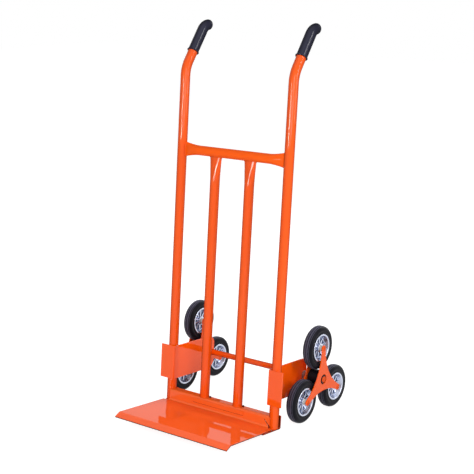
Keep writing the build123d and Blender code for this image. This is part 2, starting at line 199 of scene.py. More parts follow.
class Recipe:
    """The node tree of a material or of the world."""

    def __init__(self, owner: Any) -> None:
        """Start an empty tree.

        Args:
            owner: a new material or world.
        """
        self.owner = owner
        self.owner.use_nodes = True
        self.tree = owner.node_tree
        self.tree.nodes.clear()

    @classmethod
    def named(cls, name: str) -> "Recipe":
        """Start a new material."""
        return cls(bpy.data.materials.new(name))

    def _add(self, kind: str, inputs: dict[Any, Any], settings: dict[str, Any]) -> bpy.types.Node:
        """Add any node.

        Args:
            kind: the node's type without its prefix.
            inputs: socket name or number to a value or a wire.
            settings: the node's own settings, set before its sockets.

        Returns:
            The node.
        """
        made = self.tree.nodes.new("ShaderNode" + kind)
        for key, value in settings.items():
            setattr(made, key, value)
        for key, value in inputs.items():
            if isinstance(value, Wire):
                self.tree.links.new(value.socket, made.inputs[key])
            else:
                made.inputs[key].default_value = value
        return made

    def node(
        self,
        kind: str,
        inputs: dict[Any, Any] | None = None,
        output: Any = 0,
        **settings: Any,
    ) -> Wire:
        """Add any node, as _add does, and hand back one of its outputs by name or number."""
        return Wire(self.tree, self._add(kind, inputs or {}, settings).outputs[output])

    def close(self, shader: Wire, kind: str = "OutputMaterial") -> None:
        """Link a shader to the tree's output."""
        self._add(kind, {"Surface": shader}, {})

    def noise(self, noise: Noise) -> Wire:
        """Add a noise, whose values lie about 0.5; its fields are named as the sockets are."""
        inputs = {key.title(): value for key, value in vars(noise).items()}
        return self.node("TexNoise", {"Vector": self.node("TexCoord", output="Object"), **inputs})

    def mix(self, factor: Any, first: Any, second: Any) -> Wire:
        """Mix two colours by a factor, 0 for the first and 1 for the second."""
        inputs = {0: factor, 6: first, 7: second}
        return self.node("Mix", inputs, output=2, data_type="RGBA")

    def bump(self, noise: Noise, depth: float, strength: float) -> Wire:
        """Turn a noise into a normal, 1 standing for a depth in metres."""
        inputs = {"Height": self.noise(noise), "Distance": depth, "Strength": strength}
        return self.node("Bump", inputs)

    def surface(self, inputs: dict[str, Any]) -> Material:
        """Close the tree with a Principled surface and hand back the material."""
        self.close(self.node("BsdfPrincipled", inputs))
        return self.owner


def grey(level: float) -> Colour:
    """A linear grey as a socket takes it."""
    return (level, level, level, 1.0)


def linear(value: float) -> float:
    """One channel of a screen colour, 0 to 255, as linear light."""
    share = value / 255
    return share / 12.92 if share <= 0.04045 else ((share + 0.055) / 1.055) ** 2.4


def rgb(red: float, green: float, blue: float) -> Colour:
    """Screen colour, 0 to 255, as the linear colour that a socket takes."""
    return (linear(red), linear(green), linear(blue), 1.0)


@dataclass(frozen=True)
class Gloss:
    """A clouded, grained and glossy skin, as of vinyl, with painted shade where it turns away from the
    view.
    """

    coat: float
    turn: float
    name: str
    colour: Colour
    cloud: Colour
    # edge: the dark colour of the painted shade where the skin turns away from the view
    edge: Colour
    variant: str = ""
    turn_power: float = 0.8
    coat_fade: float = 2.0
    coat_roughness: float = 0.2
    roughness: float = 0.4
    spread: float = 0.1
    clouds: Noise = Noise(28.0, 4.0, 0.6)
    spreads: Noise = Noise(28.0, 4.0, 0.6)
    grain: Noise = Noise(700.0)
    grain_depth: float = 0.00005
    grain_strength: float = 0.3

    def material(self) -> Material:
        """Build the finish.

        Returns:
            The material.
        """
        recipe = Recipe.named(self.name + self.variant)
        body = recipe.mix(recipe.noise(self.clouds), self.cloud, self.colour)
        facing = recipe.node("LayerWeight", {"Blend": 0.5}, "Facing")
        # Painted shade: the colour goes towards the edge colour, and the coat fades, where the surface
        # turns away from the view.
        painted_edge_shade = facing**self.turn_power * self.turn
        return recipe.surface({
            "Base Color": recipe.mix(painted_edge_shade, body, self.edge),
            "Roughness": self.roughness + self.spread * recipe.noise(self.spreads),
            "Specular IOR Level": 0.0,
            "Coat Weight": self.coat * (1.0 - painted_edge_shade) ** self.coat_fade,
            "Coat Roughness": self.coat_roughness,
            "Normal": recipe.bump(self.grain, self.grain_depth, self.grain_strength),
        })


@dataclass(frozen=True)
class PowderCoat(Gloss):
    """Sprayed orange powder paint with a faint peel."""

    name: str = "orange_powder_coat"
    colour: Colour = rgb(246, 91, 9)
    cloud: Colour = rgb(239, 83, 7)
    # Painted shade: the dark orange the paint is given where it turns away from the view.
    edge: Colour = rgb(104, 30, 8)
    turn_power: float = 1.3
    coat_roughness: float = 0.03
    clouds: Noise = Noise(7.0, 3.0)
    spreads: Noise = Noise(40.0)
    grain: Noise = Noise(500.0, 1.0)
    grain_depth: float = 0.00001


@dataclass(frozen=True)
class Skin:
    """A clouded and grained skin, as of moulded plastic, with painted shade where its mesh notes a
    hollow.
    """

    name: str
    colour: Colour
    shade: Colour
    roughness: float
    # hollow: the colour of the painted shade in hollows
    hollow: Colour = grey(0.0)
    sheen: float = 0.5
    metallic: float = 0.0
    spread: float = 0.1
    clouds: Noise = Noise(45.0, 3.0)
    grain: Noise = Noise(1400.0, 1.0)
    grain_depth: float = 0.00008
    grain_strength: float = 0.4

    def material(self) -> Material:
        """Build the finish.

        Returns:
            The material.
        """
        recipe = Recipe.named(self.name)
        clouds = recipe.noise(self.clouds)
        body = recipe.mix(clouds, self.colour, self.shade)
        # Painted shade: the mesh's attribute mixes the skin towards the hollow colour.
        recess = recipe.node("Attribute", output="Fac", attribute_name="recess")
        return recipe.surface({
            "Base Color": recipe.mix(recess, body, self.hollow),
            "Metallic": self.metallic,
            "Roughness": self.roughness + self.spread * clouds,
            "Specular IOR Level": self.sheen,
            "Normal": recipe.bump(self.grain, self.grain_depth, self.grain_strength),
        })


@dataclass(frozen=True)
class Rubber(Skin):
    """Black rubber with a fine grain."""

    sheen: float = 0.05
    spread: float = 0.12
    clouds: Noise = Noise(28.0, 4.0, 0.6)
    grain: Noise = Noise(900.0)
    grain_depth: float = 0.0001


@dataclass(frozen=True)
class Metal(Skin):
    """Bare or plated metal with a cast or rolled grain."""

    metallic: float = 1.0
    clouds: Noise = Noise(40.0, 3.0)
    grain: Noise = Noise(180.0)
    grain_depth: float = 0.00004
    grain_strength: float = 0.3


class Finish(Enum):
    """The finishes on the truck; all the coats of orange share one slot of the record."""

    ORANGE = PowderCoat(coat=0.55, turn=0.9)
    SHEET = PowderCoat(0.7, 0.0, variant="_sheet")
    FLANGE = PowderCoat(0.7, 0.35, variant="_flange")
    # Painted light: PLATE, RISER and BAR are the one orange paint, retinted part by part for how the
    # light falls on the plate, the upstand and the crossbar.
    PLATE = PowderCoat(0.7, 0.0, colour=rgb(240, 92, 32), cloud=rgb(233, 85, 29), variant="_plate")
    RISER = PowderCoat(0.7, 0.35, colour=rgb(246, 105, 36), cloud=rgb(240, 98, 32), variant="_riser")
    BAR = PowderCoat(0.2, 0.3, colour=rgb(255, 99, 16), cloud=rgb(251, 92, 12), variant="_bar")
    # Painted shade: dark paint for faces and lines that sit in shade, on cut edges, behind the tube,
    # under the strip, at the upstand's end and beside the bars' feet.
    EDGE = PowderCoat(0.1, 0.0, colour=rgb(92, 28, 10), cloud=rgb(74, 20, 8), variant="_edge")
    # Painted shade: the grip's last colour is where it turns away from the view.
    GRIP = Gloss(0.9, 1.0, "grip_rubber", rgb(34, 34, 62), rgb(22, 22, 40), rgb(6, 6, 10))
    # Painted shade: the tyre's last colour is for its grooves and wall.
    TYRE = Rubber("tyre_rubber", rgb(54, 54, 66), rgb(92, 92, 110), 0.3, rgb(6, 6, 9))
    # Painted shade: the rim's last colour is for its web, dish and edge.
    ALLOY = Metal("bright_alloy", rgb(212, 216, 230), rgb(194, 200, 218), 0.2, rgb(98, 108, 132))
    HUB = Skin("black_plastic", rgb(14, 14, 20), rgb(20, 20, 28), 0.4, sheen=0.12)
    NYLON = Skin("nylon", rgb(206, 203, 194), rgb(188, 184, 174), 0.42)
    STEEL = Metal("plated_steel", rgb(162, 160, 158), rgb(134, 132, 130), 0.5)
    SPRING = Metal("spring_steel", rgb(70, 70, 74), rgb(50, 50, 54), 0.34)

    @property
    def slot(self) -> str:
        """The record's slot."""
        return self.value.name


def inset(outline: list[Point2], amount: float) -> list[Point2]:
    """Move a closed outline inwards.

    Args:
        outline: points in order.
        amount: millimetres.

    Returns:
        As many points, moved.
    """
    following = outline[1:] + outline[:1]
    area = sum(a[0] * b[1] - b[0] * a[1] for a, b in zip(outline, following))
    sign = 1.0 if area > 0 else -1.0
    moved = []
    for last, point, coming in zip(outline[-1:] + outline[:-1], outline, following):
        here = Vector(point)
        before = (here - Vector(last)).normalized()
        after = (Vector(coming) - here).normalized()
        normal = Vector((-(before.y + after.y), before.x + after.x))
        spread = max(normal.length_squared / 2, LEAST_SPREAD)
        shift = normal * (sign * amount / spread)
        moved.append((here.x + shift.x, here.y + shift.y))
    return moved


def arc(centre: Point2, radius: float, start: float, end: float, steps: int) -> list[Point2]:
    """Points on an arc from one angle in degrees to another, one more than its steps."""
    angles = [math.radians(start + (end - start) * i / steps) for i in range(steps + 1)]
    return [(centre[0] + radius * math.cos(a), centre[1] + radius * math.sin(a)) for a in angles]


def rounded(points: Sequence[Point2], radii: Sequence[float], steps: int = 6) -> list[Point2]:
    """Round the corners of a closed outline.

    Args:
        points: corners in order.
        radii: one radius for each corner, nought to keep it sharp.
        steps: divisions of each round.

    Returns:
        The rounded outline.
    """
    made: list[Point2] = []
    for i, radius in enumerate(radii):
        here = Vector(points[i])
        if radius <= 0:
            made.append((here.x, here.y))
            continue
        back = (Vector(points[i - 1]) - here).normalized()
        ahead = (Vector(points[(i + 1) % len(points)]) - here).normalized()
        half = back.angle(ahead) / 2
        reach = radius / math.tan(half)
        centre = here + (back + ahead).normalized() * (radius / math.sin(half))
        first = here + back * reach - centre
        turn = first.angle_signed(here + ahead * reach - centre)
        start = math.degrees(math.atan2(first.y, first.x))
        made += arc((centre.x, centre.y), radius, start, start - math.degrees(turn), steps)
    return made


def bent(path: Sequence[Point2], radii: Sequence[float], steps: int = 8) -> list[Point2]:
    """Outline of a bent sheet seen from its end.

    Args:
        path: corners of the sheet's middle line.
        radii: radius of the middle line at each inner corner.
        steps: divisions of each bend.

    Returns:
        The closed outline.
    """
    line = rounded(path, (0.0, *radii, 0.0), steps)
    sides: tuple[list[Point2], list[Point2]] = ([], [])
    for i, (u, v) in enumerate(line):
        ahead = line[min(i + 1, len(line) - 1)]
        behind = line[max(i - 1, 0)]
        along = Vector((ahead[0] - behind[0], ahead[1] - behind[1])).normalized()
        for side, sign in zip(sides, (1, -1)):
            side.append((u - along.y * sign * SHEET / 2, v + along.x * sign * SHEET / 2))
    return sides[0] + sides[1][::-1]


class Mesh:
    """A mesh in the making, with the forms that the pieces share."""

    def __init__(self) -> None:
        """Start empty."""
        self.bm = bmesh.new()

    def finish(self, name: str, crease: float = CREASE) -> Object:
        """Turn the mesh into a smooth object with its sharp edges marked.

        Args:
            name: the object's name.
            crease: degrees above which an edge is sharp.

        Returns:
            The linked object.
        """
        bmesh.ops.remove_doubles(self.bm, verts=self.bm.verts, dist=MERGE)
        bmesh.ops.recalc_face_normals(self.bm, faces=self.bm.faces)
        limit = math.radians(crease)
        for face in self.bm.faces:
            face.smooth = True
        for edge in self.bm.edges:
            edge.smooth = len(edge.link_faces) == 2 and edge.calc_face_angle(0.0) < limit
        data = bpy.data.meshes.new(name)
        self.bm.to_mesh(data)
        self.bm.free()
        piece = bpy.data.objects.new(name, data)
        bpy.context.scene.collection.objects.link(piece)
        return piece

    def loft(self, rings: Sequence[Sequence[Vector]], closed: bool) -> None:
        """Skin a row of closed rings.

        Args:
            rings: rings with equal counts of points.
            closed: join the last ring to the first, instead of capping both.
        """
        rows = [[self.bm.verts.new(point) for point in ring] for ring in rings]
        count = len(rows[0])
        pairs = list(zip(rows, rows[1:]))
        if closed:
            pairs.append((rows[-1], rows[0]))
        for first, second in pairs:
            for i in range(count):
                j = (i + 1) % count
                self.bm.faces.new((first[i], first[j], second[j], second[i]))
        if not closed:
            self.bm.faces.new(rows[0])
            self.bm.faces.new(rows[-1])

    def turn(self, profile: Sequence[Point2], centre: Vector, steps: int) -> None:
        """Turn a closed profile about an axis along X.

        Args:
            profile: points as (X from the centre, radius), in millimetres.
            centre: the centre, in metres.
            steps: divisions of the circle.
        """
        rings = []
        for i in range(steps):
            angle = math.tau * i / steps
            c, s = math.cos(angle), math.sin(angle)
            rings.append([centre + Vector((x, r * c, r * s)) * MM for x, r in profile])
        self.loft(rings, closed=True)

    def tube(
        self,
        path: Sequence[Vector],
        radius: Callable[[float], float],
        closed: bool = False,
        sides: int = 10,
    ) -> None:
        """Run a round section along a path.

        Args:
            path: points in metres.
            radius: millimetres at a distance along the path in millimetres.
            closed: the path is a loop.
            sides: divisions of the section.
        """
        count = len(path)
        rings = []
        travelled = 0.0
        across = Vector((0.0, 0.0, 0.0))
        for i, point in enumerate(path):
            ahead = path[(i + 1) % count] if closed or i + 1 < count else point
            behind = path[i - 1] if closed or i else point
            forward = (ahead - behind).normalized()
            if i == 0:
                across = forward.orthogonal().normalized()
            else:
                travelled += (point - path[i - 1]).length / MM
                across = (across - forward * across.dot(forward)).normalized()
            other = forward.cross(across)
            size = radius(travelled) * MM
            rings.append([
                point + (across * math.cos(a) + other * math.sin(a)) * size
                for a in (math.tau * k / sides for k in range(sides))
            ])
        self.loft(rings, closed)

    def plate(
        self,
        outline: list[Point2],
        place: Callable[[float, float, float], Vector],
        start: float,
        end: float,
        edge: float = SHEET_EDGE,
        hole: float = 0.0,
    ) -> None:
        """Cut a flat plate to an outline and break its edges.

        Args:
            outline: points round the plate, in millimetres.
            place: maps outline point and depth to the scene.
            start: depth of one face.
            end: depth of the other.
            edge: width of the broken edge, in millimetres.
            hole: radius of a round hole about the outline's origin, nought for none.
        """
        inner = inset(outline, edge)
        step = math.copysign(edge, end - start)
        rows = [(inner, start), (outline, start + step), (outline, end - step), (inner, end)]
        if hole:
            bore = [Vector(point).normalized() * hole for point in outline]
            rows += [(bore, end), (bore, start)]
        rings = [[place(u, v, depth) for u, v in row] for row, depth in rows]
        self.loft(rings, closed=hole > 0)


@dataclass
class Part:
    """A sub-assembly of the truck, in millimetres, and the materials that dress it."""

    paints: dict[Finish, Material]

    def dress(self, node: str, finish: Finish) -> None:
        """Give a CAD node its finish.

        Args:
            node: the node's name.
            finish: what it gets.
        """
        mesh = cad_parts[node].data
        mesh.materials.clear()
        mesh.materials.append(self.paints[finish])
        LOG.info("node %s: %s", node, finish.slot)

    def add(
        self,
        name: str,
        mesh: Mesh,
        finish: Finish,
        *nodes: str,
        body: str = "frame",
        crease: float = CREASE,
    ) -> Object:
        """Turn a mesh into a piece with its finish and its place on a body.

        Args:
            name: the piece's name.
            mesh: its mesh.
            finish: what it gets.
            nodes: CAD nodes that it stands for.
            body: the body it moves with.
            crease: degrees above which an edge is sharp.

        Returns:
            The piece.
        """
        piece = mesh.finish(name, crease)
        piece.data.materials.append(self.paints[finish])
        finish.slot
        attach(piece, body)
        if nodes:
            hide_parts(*nodes)
        LOG.info("piece %s on %s", piece.name, body)
        return piece

    def darken(self, piece: Object, *directions: Vector) -> None:
        """Paint shade on the faces of a sheet that look along given ways, mostly its cut edges.

        Args:
            piece: the dressed sheet.
            directions: an edge's face looks along one of these.
        """
        piece.data.materials.append(self.paints[Finish.EDGE])
        for face in piece.data.polygons:
            if any(face.normal.dot(direction) > ALONG for direction in directions):
                face.material_index = 1


@dataclass
class SidePart(Part):
    """A sub-assembly that the truck has on both sides."""

    side: Side

    @property
    def word(self) -> str:
        """The side's name."""
        return self.side.word

    @property
    def tube_x(self) -> float:
        """X of the middle of the side tube."""
        return self.side.value * SIDE_X


@dataclass
class ToePlate(Part):
    """The bent toe plate, in the plate's own frame."""

    half_width: float = 228.5
    bend_back: float = -250.0
    lip: float = 24.0
    lip_angle: float = 30.0
    lip_bend: float = 8.0
    upstand: float = -17.0
    upstand_half: float = 207.0
    upstand_bend: float = 9.0
    flange_up: float = 37.0
    flange_back: float = 13.0
    flange_bend: float = 5.0
    bend_play: float = 0.01
    steps: int = 12
    tube_gap: float = 1.0
    tube_shift: float = -0.8
    strip_half: float = 105.0
    strip_ups: Point2 = (16.0, 30.0)
    strip_backs: Point2 = (-21.0, -18.5)
    strip_edge: float = 0.5
    # The painted shadow under the strip's lower edge:
    seam_half: float = 104.0
    seam_back: float = -19.2
    seam_up: float = 15.6
    seam_radius: float = 0.8
    # The slanted dark line of painted shade at the upstand's right end:
    slit_start: float = 213.0
    slit_run: float = 24.0
    slit_rise: float = 25.0
    slit_radius: float = 1.5
    slit_taper: float = 0.02
    slit_steps: int = 15
    line_sides: int = 8

    @property
    def bend_start(self) -> float:
        """Where the plate starts to bend into the upstand."""
        return self.upstand - self.upstand_bend

    def _coped(self, back: float, up: float, x: float) -> Vector:
        """Place a point of the upstand or flange, whose ends are coped round the side tubes.

        Args:
            back: millimetres behind the tubes' centre line.
            up: millimetres above the plate.
            x: millimetres to the right, before coping.

        Returns:
            The point in the scene.
        """
        reach = (TUBE_R + self.tube_gap) ** 2 - (back - self.tube_shift) ** 2
        end = min(self.upstand_half, SIDE_X - math.sqrt(max(reach, 0.0)))
        return TOE.at(x - math.copysign(self.upstand_half - end, x), back, up)

    def _plate(self) -> None:
        """Make the plate and its lip, with painted shade on the cut edges at its sides and at the lip's
        end.
        """
        slope = math.radians(self.lip_angle)
        fold = (self.bend_back, -SHEET / 2)
        tip = (fold[0] - self.lip * math.cos(slope), fold[1] - self.lip * math.sin(slope))
        outline = bent([tip, fold, (self.bend_start, -SHEET / 2)], [self.lip_bend])
        mesh = Mesh()
        mesh.plate(outline, TOE.from_side, -self.half_width, self.half_width)
        plate = self.add("bent_toe_plate", mesh, Finish.PLATE, "toe_plate")
        forward = (TOE.at(0, *tip) - TOE.at(0, *fold)).normalized()
        # Painted shade on the side edges and on the lip's end face.
        self.darken(plate, ACROSS, -ACROSS, forward)

    def _upstand(self) -> None:
        """Make the upstand, its flange and its stiffening strip."""
        low, top = -SHEET / 2, self.flange_up - SHEET / 2
        corner = self.upstand + self.flange_bend
        depth = self.flange_back - corner
        run = [(corner + depth * i / self.steps, top) for i in range(1, self.steps + 1)]
        bends = [bend - self.bend_play for bend in (self.upstand_bend, self.flange_bend)]
        line = [(self.bend_start, low), (self.upstand, low), (self.upstand, top), *run]
        outline = bent(line, bends + [0.0] * (len(run) - 1), self.steps)
        mesh = Mesh()
        mesh.plate(outline, self._coped, -self.upstand_half, self.upstand_half)
        half, (low, high) = self.strip_half, self.strip_ups
        strip = [(-half, low), (half, low), (half, high), (-half, high)]
        mesh.plate(strip, TOE.from_front, *self.strip_backs, self.strip_edge)
        self.add("toe_plate_upstand", mesh, Finish.RISER, "toe_plate")

    def _seam(self) -> None:
        """Draw a dark line along the strip's lower edge: the strip's painted shadow."""
        path = [TOE.at(x, self.seam_back, self.seam_up) for x in (-self.seam_half, self.seam_half)]
        mesh = Mesh()
        mesh.tube(path, lambda distance: self.seam_radius, sides=self.line_sides)
        self.add("strip_seam", mesh, Finish.EDGE)

    def _slit(self) -> None:
        """Draw a slanted dark line at the right end of the upstand, from the plate up its front face:
        painted shade of the gap there.
        """
        inside = self.upstand_bend - SHEET / 2
        path = []
        for i in range(self.slit_steps + 1):
            share = i / self.slit_steps
            up = self.slit_rise * share
            sink = max(inside - up, 0.0)
            back = self.bend_start + math.sqrt(inside**2 - sink**2)
            path.append(TOE.at(self.slit_start - self.slit_run * share, back, up))

        def radius(distance: float) -> float:
            """Half the line's width, which narrows upwards."""
            return self.slit_radius - self.slit_taper * distance

        mesh = Mesh()
        mesh.tube(path, radius, sides=self.line_sides)
        self.add("upstand_slit", mesh, Finish.EDGE)

    def build(self) -> None:
        """Make the bent sheet and the lines of painted shade on it."""
        self._plate()
        self._upstand()
        self._seam()
        self._slit()


@dataclass
class WeldedFrame(Part):
    """The tubes, the axle and the weld beads between the pieces of the frame."""

    thick: float = 2.0
    ripple: float = 0.3
    pitch: float = 3.2
    end_share: float = 0.35
    end_run: float = 3.0
    crease: float = 70.0
    loop_steps: int = 90
    bar_x: float = 69.0
    bar_back: float = -3.0
    bar_sweep: Sweep = (-38.0, 218.0, 80)
    crossbar_up: float = 871.5
    flat_half: float = 24.4
    flat_depth: float = 3.5
    neck_half: float = 22.6
    neck_depth: float = 6.8
    flange_up: float = 37.0
    foot_up: float = -4.0
    foot_sweep: Sweep = (-160.0, -20.0, 50)
    riser_x: float = 208.5
    riser_back: float = -17.0
    riser_ups: tuple[int, int] = (4, 34)
    # Size and sweep of the painted contact shade beside the bars' feet:
    gap: float = 3.4
    gap_sweep: Sweep = (5.0, 50.0, 9)

    def _bead(
        self,
        name: str,
        path: Sequence[Vector],
        closed: bool = False,
        finish: Finish = Finish.ORANGE,
        thick: float | None = None,
    ) -> None:
        """Lay one rippled weld bead.

        Args:
            name: the bead's name.
            path: its middle line.
            closed: the line is a loop.
            finish: what the bead gets.
            thick: half its thickness, in millimetres, if it isn't the usual one.
        """
        half = self.thick if thick is None else thick
        length = sum((b - a).length for a, b in zip(path, path[1:])) / MM

        def radius(distance: float) -> float:
            """Ripple the bead, and thin it at the ends if it is open.

            Args:
                distance: millimetres along it.

            Returns:
                Half its thickness there.
            """
            run = min(distance, length - distance) / self.end_run
            end = 1.0 if closed else min(1.0, self.end_share + run)
            return end * (half + self.ripple * math.sin(math.tau * distance / self.pitch))

        mesh = Mesh()
        mesh.tube(path, radius, closed)
        self.add(name, mesh, finish, crease=self.crease)

    def build(self) -> None:
        """Dress the tubes and the axle, and lay the welds."""
        self.dress("upper_crossbar", Finish.BAR)
        nodes = ["main_axle"]
        nodes += [f"{side.word}_{piece}" for side in Side for piece in ("side_tube", "inner_bar")]
        for node in nodes:
            self.dress(node, Finish.ORANGE)
        self.dress("axle_spacers", Finish.STEEL)
        # Painted shade: the washers are dressed black so the axle end shows the dark ring of shade in the
        # star's centre hole.
        self.dress("axle_washers", Finish.HUB)
        self.dress("axle_circlips", Finish.SPRING)
        circle = [math.tau * i / self.loop_steps for i in range(self.loop_steps)]
        for side in Side:
            self._tube_welds(side, circle)
            self._bar_welds(side, circle)

    def _tube_welds(self, side: Side, circle: Sequence[float]) -> None:
        """Lay the beads on one side tube.

        Args:
            side: which side.
            circle: angles once round, in radians.
        """
        ring = arc((side.value * SIDE_X, 0.0), TUBE_R, *self.foot_sweep)
        self._bead(f"{side.word}_foot_weld", [TOE.at(x, back, self.foot_up) for x, back in ring])
        riser_x = side.value * self.riser_x
        riser = [TOE.at(riser_x, self.riser_back, up) for up in range(*self.riser_ups)]
        self._bead(f"{side.word}_upstand_weld", riser)
        end = []
        for a in circle:
            back = self.flat_depth * math.cos(a)
            up = self.crossbar_up + self.flat_half * math.sin(a)
            reach = SIDE_X - math.sqrt(TUBE_R**2 - back**2)
            end.append(TUBES.at(side.value * reach, back, up))
        self._bead(f"{side.word}_crossbar_weld", end, closed=True)

    def _bar_welds(self, side: Side, circle: Sequence[float]) -> None:
        """Lay the beads on one inner bar, and the painted contact shade beside its foot.

        Args:
            side: which side.
            circle: angles once round, in radians.
        """
        bar = side.value * self.bar_x
        neck = []
        for a in circle:
            back = self.bar_back + self.neck_depth * math.sin(a)
            up = self.crossbar_up - math.sqrt(TUBE_R**2 - back**2)
            neck.append(TUBES.at(bar + self.neck_half * math.cos(a), back, up))
        self._bead(f"{side.word}_bar_top_weld", neck, closed=True)
        ring = arc((bar, self.bar_back), TUBE_R, *self.bar_sweep)
        self._bead(f"{side.word}_bar_foot_weld", [TOE.at(x, back, self.flange_up) for x, back in ring])
        # Dark beads beside the bar's foot: painted contact shade on the flange.
        ring = arc((0.0, self.bar_back), TUBE_R + self.gap, *self.gap_sweep)
        for hand, sign in (("outer", side.value), ("inner", -side.value)):
            path = [TOE.at(bar + sign * x, back, self.flange_up) for x, back in ring]
            self._bead(f"{side.word}_bar_foot_{hand}_gap", path, finish=Finish.EDGE, thick=self.gap)


@dataclass
class HeelStrap(SidePart):
    """Flat bar under the toe plate, turned up behind a side tube, in the plate's frame."""

    width: float = 30.0
    front: float = -78.0
    rise: float = 36.0
    inner: float = 16.3
    inner_bend: float = 1.0
    heel: float = 5.0
    tilt: float = -1.3

    def build(self) -> None:
        """Make the strap, with painted shade on its side edges and on its front faces, where the tube
        shades it.
        """
        lean = math.tan(math.radians(self.tilt))
        low, half = -2 * SHEET, self.width / 2
        outer = self.inner + SHEET
        corners = [
            (self.front, -SHEET),
            (self.inner + SHEET * lean, -SHEET),
            (self.inner + (self.rise - low) * lean, self.rise),
            (outer + (self.rise - low) * lean, self.rise),
            (outer, low),
            (self.front, low),
        ]
        outline = rounded(corners, (0, self.inner_bend, 0, 0, self.heel, 0))
        mesh = Mesh()
        mesh.plate(outline, TOE.from_side, self.tube_x - half, self.tube_x + half)
        name = f"{self.word}_turned_strap"
        piece = self.add(name, mesh, Finish.ORANGE, f"{self.word}_heel_strap")
        # Painted shade: the side edges, and the front faces behind the tube, take the dark paint.
        self.darken(piece, ACROSS, -ACROSS, TOWARDS)


@dataclass
class AxleBracket(SidePart):
    """Bent sheet, its flange across a side tube's front and its web to the axle, in the tubes' frame."""

    inside: float = 194.0
    flange: float = 56.0
    fold_bend: float = 4.0
    low: float = 84.0
    high: float = 200.0
    front: float = -20.0
    rear: float = 204.0
    corner: float = 30.0
    corner_steps: int = 16

    def build(self) -> None:
        """Make the bracket."""
        sign = self.side.value
        face, middle = self.front + SHEET / 2, self.inside + SHEET / 2
        line = [(self.inside + self.flange, face), (middle, face), (middle, 0.0)]
        fold = [(sign * x, back) for x, back in bent(line, [self.fold_bend])]
        mesh = Mesh()
        mesh.plate(fold, TUBES.at, self.low, self.high)
        corners = [(0.0, self.low), (self.rear, self.low), (self.rear, self.high), (0.0, self.high)]
        web = rounded(corners, (0, self.corner, self.corner, 0), self.corner_steps)
        mesh.plate(web, TUBES.from_side, sign * self.inside, sign * (self.inside + SHEET))
        self.add(f"{self.word}_bent_bracket", mesh, Finish.SHEET, f"{self.word}_axle_bracket")


@dataclass
class Grip(SidePart):
    """Moulded sleeve over a handle, with a rolled collar and a domed end, in the tubes' frame."""

    bend_up: float = 1138.0
    angle: float = 32.5
    mouth: float = 62.0
    run: float = 170.0
    tail: float = 26.0
    hook_radius: float = 40.0
    hook_steps: int = 20
    radius: float = 17.7
    collar: float = 20.4
    collar_length: float = 4.0
    dome: float = 9.0
    spacing: float = 0.75
    shortest: float = 4.0
    sides: int = 48
    crease: float = 50.0

    def _line(self) -> list[Point2]:
        """Draw the sleeve's centre line, closely spaced where it is straight.

        Returns:
            Points as (back, up).
        """
        turn = math.radians(self.angle)
        start = (self.mouth * math.sin(turn), self.bend_up + self.mouth * math.cos(turn))
        hook = (self.run * math.sin(turn), self.bend_up + self.run * math.cos(turn))
        end = (hook[0] + self.tail, hook[1])
        corners = rounded([start, hook, end], (0, self.hook_radius, 0), self.hook_steps)
        line: list[Point2] = []
        for (back, up), second in zip(corners, corners[1:]):
            length = math.dist((back, up), second)
            count = max(1, round(length / self.spacing)) if length > self.shortest else 1
            line += [
                (back + (second[0] - back) * i / count, up + (second[1] - up) * i / count)
                for i in range(count)
            ]
        line.append(end)
        return line

    def build(self) -> None:
        """Make the grip."""
        line = self._line()
        length = sum(math.dist(a, b) for a, b in zip(line, line[1:]))
        half = self.collar_length / 2

        def radius(distance: float) -> float:
            """Roll the collar and round the end.

            Args:
                distance: millimetres from the mouth.

            Returns:
                The outer radius there.
            """
            left = max(length - distance, 0.0)
            if left < self.dome:
                return self.radius - self.dome + math.sqrt(self.dome**2 - (self.dome - left) ** 2)
            roll = min(abs(distance - half) / half, 1.0)
            return self.radius + (self.collar - self.radius) * math.sqrt(1 - roll**2)

        mesh = Mesh()
        mesh.tube([TUBES.at(self.tube_x, back, up) for back, up in line], radius, sides=self.sides)
        name = f"{self.word}_dipped_grip"
        self.add(name, mesh, Finish.GRIP, f"{self.word}_grip", crease=self.crease)


